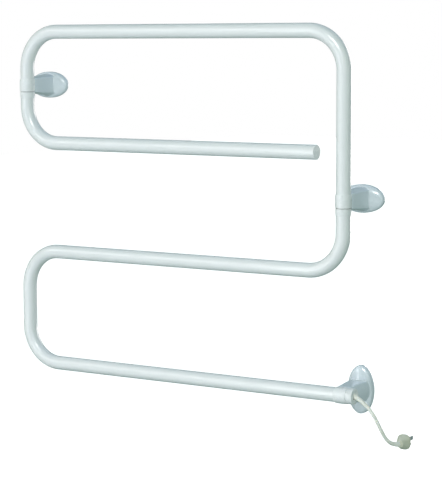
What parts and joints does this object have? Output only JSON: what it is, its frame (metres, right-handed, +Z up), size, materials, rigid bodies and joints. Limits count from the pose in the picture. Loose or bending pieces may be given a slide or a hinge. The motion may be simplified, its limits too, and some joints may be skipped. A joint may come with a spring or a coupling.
{
  "type": "towel warmer rack",
  "caption": "Wall-mounted heated towel rack: one serpentine of white tube with parallel bars, domed oval wall brackets, and a short moulded cord with an earthed plug.",
  "frame": {"origin": "middle of the left bracket's foot, on the wall plane", "axes": "+Z up, +Y into the wall, +X to the right as seen from the room"},
  "size_m": [0.8074, 0.0983, 0.7177],
  "materials": {
    "coated_tube": "smooth white powder coat, satin",
    "cap_plastic": "white moulded nylon",
    "spigot_steel": "plain steel tube",
    "bracket_plastic": "white glossy moulding",
    "liner_rubber": "matt silicone",
    "plate_steel": "zinc-plated sheet steel",
    "screw_black": "black oxide",
    "screw_steel": "zinc-plated",
    "cable_jacket": "silicone jacket",
    "seal_silicone": "silicone",
    "contact_brass": "plain brass",
    "tinned_metal": "tinned",
    "potting_resin": "cast epoxy",
    "cord_vinyl": "satin vinyl jacket, off-white",
    "plug_vinyl": "satin moulded vinyl, off-white"
  },
  "bodies": {
    "root": {"free_bar_tube": "coated_tube", "top_loop_tube": "coated_tube", "lower_loop_tube": "coated_tube", "free_end_cap": "cap_plastic", "cord_end_cap": "cap_plastic", "seam_ring_left": "cap_plastic", "seam_ring_right": "cap_plastic", "seam_spigot_left": "spigot_steel", "seam_spigot_right": "spigot_steel", "bracket_left": "bracket_plastic", "bracket_right": "bracket_plastic", "bracket_lower": "bracket_plastic", "collar_cap_left": "cap_plastic", "collar_cap_right": "cap_plastic", "collar_cap_lower": "cap_plastic", "liner_left": "liner_rubber", "liner_right": "liner_rubber", "liner_lower": "liner_rubber", "wall_plate_left": "plate_steel", "wall_plate_right": "plate_steel", "wall_plate_lower": "plate_steel", "set_screws": "screw_black", "tube_screws": "screw_steel", "heating_cable": "cable_jacket", "cable_end_seal": "seal_silicone", "cable_splices": "contact_brass", "thermal_cutout": "tinned_metal", "end_potting": "potting_resin", "earth_screw": "contact_brass", "earth_nut": "contact_brass", "earth_terminal": "tinned_metal", "power_cord": "cord_vinyl", "cord_strain_relief": "cord_vinyl", "plug_body": "plug_vinyl", "plug_strain_relief": "cord_vinyl", "plug_blades": "tinned_metal", "plug_earth_pin": "tinned_metal"}
  },
  "joints": []
}
